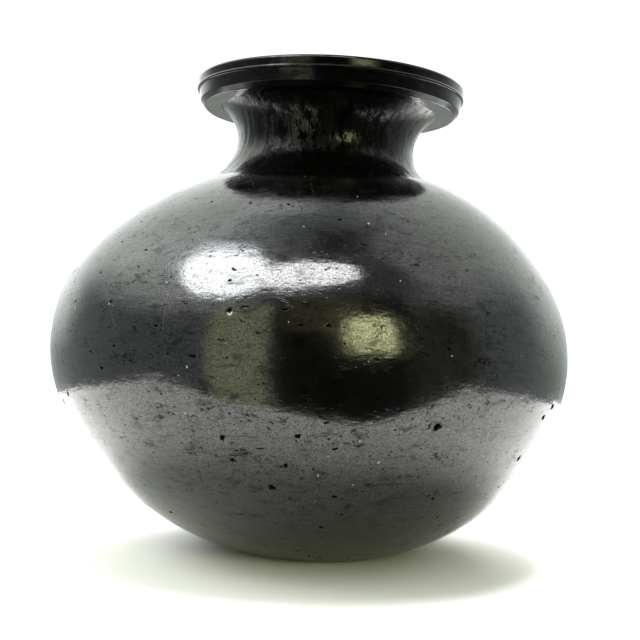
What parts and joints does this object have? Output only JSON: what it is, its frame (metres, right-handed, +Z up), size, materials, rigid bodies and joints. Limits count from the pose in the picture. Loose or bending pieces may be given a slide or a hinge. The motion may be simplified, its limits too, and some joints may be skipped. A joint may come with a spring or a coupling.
{
  "type": "black clay pot",
  "caption": "Round burnished black clay pot with a short hollow-curved neck and a wide flat rim, standing on a small flat base.",
  "frame": {"origin": "centre of the flat resting face, at the bottom of the pot", "axes": "+Z up along the pot's axis, through the mouth; +X and +Y level, with -Y towards the side that was seen"},
  "size_m": [0.17, 0.17, 0.1547],
  "materials": {
    "burnished_clay": "burnished, graphite-like sheen with fine scratches and pits",
    "scraped_clay": "less burnished, upright tool streaks",
    "rim_clay": "smooth gloss with faint turning lines"
  },
  "bodies": {
    "root": {"base_pad": "burnished_clay", "bowl": "burnished_clay", "belly": "burnished_clay", "shoulder": "burnished_clay", "neck": "scraped_clay", "rim": "rim_clay", "lip": "rim_clay"}
  },
  "joints": []
}
